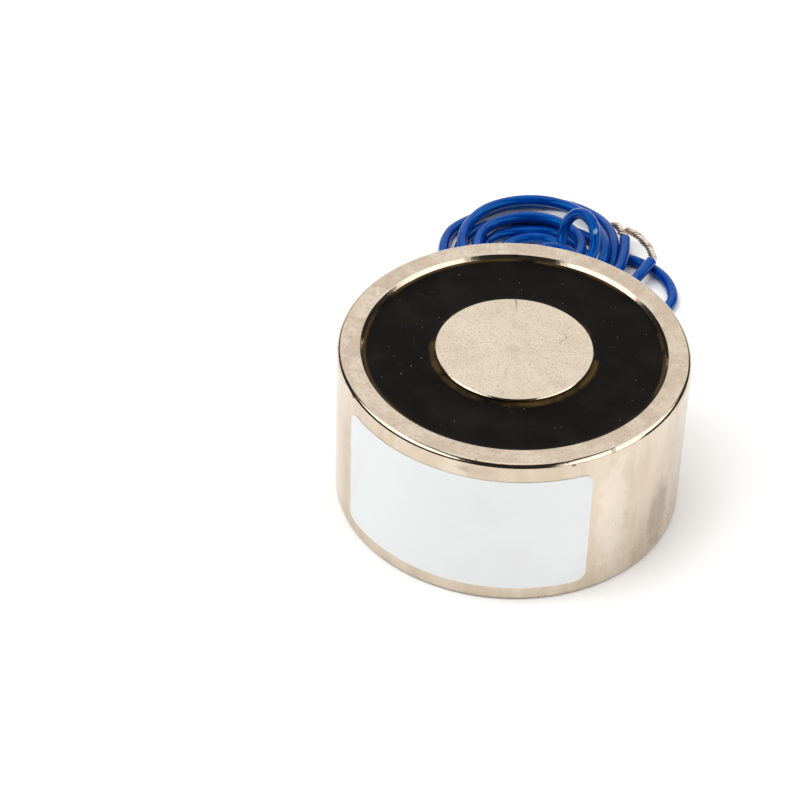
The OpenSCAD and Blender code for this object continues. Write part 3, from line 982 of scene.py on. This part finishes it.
# %% Blue insulation
blue, tree, shader, place = new_material("blue_insulation")
cloudy = effect_at(tree, smears, place, Scale=300.0, Low=0.35, High=0.75)
specks = effect_at(tree, dust, place, Scale=1300.0, Share=0.05, Size=0.12)
tone = blended(tree, cloudy, (0.0, 0.024, 0.205, 1), (0.0, 0.048, 0.285, 1))
scuff = stained(tree, place, (-2.2, 40.5, 7.6), (0.28, 0.55, 0.35))
tone = tinted(tree, tone, scuff, 0.6, (0.34, 0.46, 0.42, 1))
tone = tinted(tree, tone, specks, 0.5, (0.45, 0.5, 0.6, 1))
skin = noise(tree, place, 1500.0, 2.0)
feed(tree, shader, Base_Color=tone, Roughness=graded(tree, cloudy, 0, 1, 0.12, 0.20),
     Specular_IOR_Level=0.70, Specular_Tint=(0.05, 0.55, 1.0, 1),
     Normal=bumped(tree, skin, 0.12, 0.03 * mm))
print("blue_insulation nodes:", len(tree.nodes))

# %% [markdown]
# The strands are tinned copper that has dulled, so warm and grey patches alternate. The
# label is a white plastic film: almost plain, with a fine tooth and a soft uneven gloss.

# %% Tinned copper and label film
tinned, tree, shader, place = new_material("tinned_copper")
cloudy = effect_at(tree, smears, place, Scale=900.0, Low=0.4, High=0.65)
tone = blended(tree, cloudy, (0.78, 0.71, 0.60, 1), (0.46, 0.37, 0.27, 1))
feed(tree, shader, Base_Color=tone, Metallic=1.0,
     Roughness=graded(tree, cloudy, 0, 1, 0.25, 0.45))

paper, tree, shader, place = new_material("label_paper")
tooth = noise(tree, place, 1800.0, 5.0)
cloudy = effect_at(tree, smears, place, Scale=110.0, Low=0.45, High=0.8)
tone = blended(tree, cloudy, (0.80, 0.82, 0.83, 1), (0.76, 0.77, 0.77, 1))
feed(tree, shader, Base_Color=tone,
     Roughness=graded(tree, tooth, 0.3, 0.7, 0.40, 0.55),
     Normal=bumped(tree, tooth, 0.08, 0.02 * mm))
print("label_paper nodes:", len(tree.nodes))

# %% [markdown]
# Under the resin lie the bobbin, the winding with its tape and wires, the solder joints and
# their sleeves. They show only when the magnet is taken apart, and their CAD shapes are right,
# so they get only a finish. One function makes each of the five finishes from two tones, and
# all the materials are then put on their pieces.

# %% Materials of the inner pieces
def plain_finish(name, light, dark, scale, roughness, metallic=0.0):
    """A cloudy two-tone finish with a fine grain, for the pieces under the resin."""
    made, tree, shader, place = new_material(name)
    cloudy = effect_at(tree, smears, place, Scale=scale, Low=0.35, High=0.7)
    grain = noise(tree, place, scale * 8)
    feed(tree, shader, Base_Color=blended(tree, cloudy, light, dark), Metallic=metallic,
         Roughness=graded(tree, cloudy, 0, 1, roughness, roughness + 0.12),
         Normal=bumped(tree, grain, 0.15, 0.02 * mm))
    return made


nylon = plain_finish("nylon", (0.72, 0.68, 0.58, 1), (0.62, 0.57, 0.47, 1), 200.0, 0.45)
enamel = plain_finish("enamelled_copper", (0.55, 0.20, 0.07, 1), (0.40, 0.12, 0.04, 1), 400.0,
                      0.25, 1.0)
tape = plain_finish("winding_tape", (0.70, 0.50, 0.12, 1), (0.58, 0.38, 0.08, 1), 150.0, 0.35)
solder = plain_finish("solder", (0.62, 0.62, 0.60, 1), (0.45, 0.45, 0.44, 1), 700.0, 0.3, 1.0)
sleeve = plain_finish("shrink_sleeve", (0.03, 0.03, 0.03, 1), (0.05, 0.05, 0.05, 1), 300.0, 0.4)

finish_of = {"bobbin": nylon, "coil_winding": enamel, "winding_start": enamel,
             "winding_finish": enamel, "winding_tape": tape, "solder_joint_a": solder,
             "solder_joint_b": solder, "joint_sleeve_a": sleeve, "joint_sleeve_b": sleeve,
             "lead_a_inner": blue, "lead_b_inner": blue}
dressed = [(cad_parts[name], finish) for name, finish in finish_of.items()]
dressed += [(pot, nickel), (thread, nickel), (resin, black), (plug, black), (lead_a, blue),
            (lead_b, blue), (strands_a, tinned), (strands_b, tinned), (label, paper)]
for piece, finish in dressed:
    piece.data.materials.clear()
    piece.data.materials.append(finish)
print("finishes placed:", len(dressed))

# %% [markdown]
# The stage is a plain white table, a plane far larger than the picture.

# %% Lay the table
floor_size = 4
start_clean()
bpy.ops.mesh.primitive_plane_add(size=floor_size)
floor = bpy.context.object
floor.name = "floor"
white, tree, shader, place = new_material("floor_white")
speckle = noise(tree, place, 40.0)
feed(tree, shader, Roughness=0.8,
     Base_Color=blended(tree, speckle, (0.92, 0.92, 0.92, 1), (0.93, 0.93, 0.93, 1)))
floor.data.materials.append(white)
print("table, m:", floor_size)

# %% [markdown]
# A metal shows what surrounds it, so the tent matters more than any lamp. It could be built
# from planes, but a few nodes on the world's direction do the same. Its cloth is dark, with
# four bright parts as the camera sees them: a card at the back, which the flat faces mirror,
# a box of light on each side for the edges and the mouth's bevel, and a small roof. The dark
# front draws the fine dark lines along the bright edges.

# %% Hang the tent
box_edge, box_full = 0.38, 0.50
left_low, left_full, left_light = 0.44, 0.52, 2.5
left_back, left_end = 0.20, 0.40
right_back, right_end = 0.35, 0.50
right_low, right_low_behind = 0.05, 0.42
step_from, step_to = -0.25, -0.05
right_soft = 0.08
right_top, right_top_end, right_light = 0.84, 0.90, 2.0
roof_low, roof_full, roof_light = 0.94, 0.97, 1.3
card_height, card_edge, card_full = 0.65, 0.72, 0.86
card_light, cloth_light = 1.12, 0.03

world = bpy.data.worlds.new("tent")
world.use_nodes = True
bpy.context.scene.world = world
tree = world.node_tree
way = node(tree, "ShaderNodeTexCoord").outputs["Generated"]
up = node(tree, "ShaderNodeSeparateXYZ", {"Vector": way}).outputs["Z"]
forward = pan @ Vector((0, 1, 0))
rightward = pan @ Vector((1, 0, 0))
ahead = vector_maths(tree, "DOT_PRODUCT", way, tuple(forward))
across = vector_maths(tree, "DOT_PRODUCT", way, tuple(rightward))
left_box = times(tree, graded(tree, across, -box_full, -box_edge, 1.0, 0.0),
                 graded(tree, ahead, left_back, left_end, 1.0, 0.0),
                 graded(tree, up, left_low, left_full, 0.0, left_light))
right_foot = graded(tree, ahead, step_from, step_to, right_low, right_low_behind)
above_foot = maths(tree, "SUBTRACT", up, right_foot)
right_box = times(tree, graded(tree, across, box_edge, box_full),
                  graded(tree, ahead, right_back, right_end, 1.0, 0.0),
                  graded(tree, up, right_top, right_top_end, 1.0, 0.0),
                  graded(tree, above_foot, 0.0, right_soft, 0.0, right_light))
roof = graded(tree, up, roof_low, roof_full, 0.0, roof_light)
card_way = forward * math.sqrt(1 - card_height ** 2) + Vector((0, 0, card_height))
aimed = vector_maths(tree, "DOT_PRODUCT", way, tuple(card_way))
card = graded(tree, aimed, card_edge, card_full, cloth_light, card_light)
light = maths(tree, "ADD", maths(tree, "ADD", card, roof),
              maths(tree, "ADD", left_box, right_box))
tent_cloth = tree.nodes["Background"]
tent_cloth.inputs["Color"].default_value = (1.0, 0.99, 0.975, 1)
tree.links.new(light, tent_cloth.inputs["Strength"])
print("tent nodes:", len(tree.nodes))

# %% [markdown]
# One large soft lamp above on the left adds to the tent's light and gives the pot its shadow.
# No surface mirrors it, because its square would show as a patch on the wall.

# %% Hang the lamp
lamp_size = 0.7
lamp_power = 5
start_clean()
lamp_place = pan @ Vector((-0.35, -0.10, 0.90))
bpy.ops.object.light_add(type="AREA", location=lamp_place)
key_lamp = bpy.context.object
key_lamp.name = "key_lamp"
key_lamp.data.size = lamp_size
key_lamp.data.energy = lamp_power
key_lamp.rotation_euler = lamp_place.to_track_quat("Z", "Y").to_euler()
key_lamp.visible_glossy = False
bpy.context.scene.view_settings.view_transform = "Standard"
print("lamp at, m:", [round(x, 2) for x in lamp_place])
